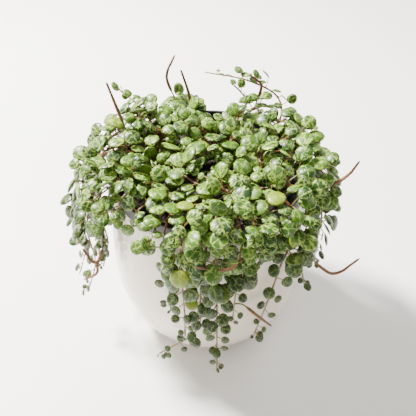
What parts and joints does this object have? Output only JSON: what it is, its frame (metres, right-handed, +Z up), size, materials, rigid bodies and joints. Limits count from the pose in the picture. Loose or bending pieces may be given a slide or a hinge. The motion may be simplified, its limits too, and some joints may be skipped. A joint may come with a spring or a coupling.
{
  "type": "potted string of turtles",
  "caption": "Trailing peperomia with small round patterned leaves, in a black nursery pot that rests by its lip in a rounded white ceramic cover pot.",
  "frame": {"origin": "centre of the cover pot's foot, on the surface it stands on", "axes": "+Z up the pot's own axis; the fullest cascade of vines hangs on the -Y side, and the widest on the -X side"},
  "size_m": [0.1926, 0.1598, 0.1875],
  "materials": {
    "glazed_pot": "gloss",
    "black_plastic": "satin",
    "soil": "matte",
    "vine": "satin",
    "spike": "matte"
  },
  "bodies": {
    "root": {"cover_pot": "glazed_pot", "crown_vine_01": "vine", "crown_vine_02": "vine", "crown_vine_03": "vine", "crown_vine_04": "vine", "crown_vine_05": "vine", "crown_vine_06": "vine", "crown_vine_07": "vine", "crown_vine_08": "vine", "crown_vine_09": "vine", "crown_vine_10": "vine", "crown_vine_11": "vine", "crown_vine_12": "vine", "crown_vine_13": "vine", "crown_vine_14": "vine", "crown_vine_15": "vine", "crown_vine_16": "vine", "crown_vine_17": "vine", "crown_vine_18": "vine", "flower_spike_01": "spike", "flower_spike_02": "spike", "flower_spike_03": "spike", "flower_spike_04": "spike", "flower_spike_05": "spike", "flower_spike_06": "spike", "flower_spike_07": "spike", "flower_spike_08": "spike", "flower_spike_09": "spike", "flower_spike_10": "spike", "nursery_pot": "black_plastic", "potting_soil": "soil", "trailing_vine_01": "vine", "trailing_vine_02": "vine", "trailing_vine_03": "vine", "trailing_vine_04": "vine", "trailing_vine_05": "vine", "trailing_vine_06": "vine", "trailing_vine_07": "vine", "trailing_vine_08": "vine", "trailing_vine_09": "vine", "trailing_vine_10": "vine", "trailing_vine_11": "vine", "trailing_vine_12": "vine", "trailing_vine_13": "vine", "trailing_vine_14": "vine", "trailing_vine_15": "vine", "trailing_vine_16": "vine", "trailing_vine_17": "vine", "trailing_vine_18": "vine", "trailing_vine_19": "vine", "trailing_vine_20": "vine", "trailing_vine_21": "vine", "trailing_vine_22": "vine", "trailing_vine_23": "vine", "trailing_vine_24": "vine", "trailing_vine_25": "vine", "young_shoot_01": "vine", "young_shoot_02": "vine", "young_shoot_03": "vine"}
  },
  "joints": []
}
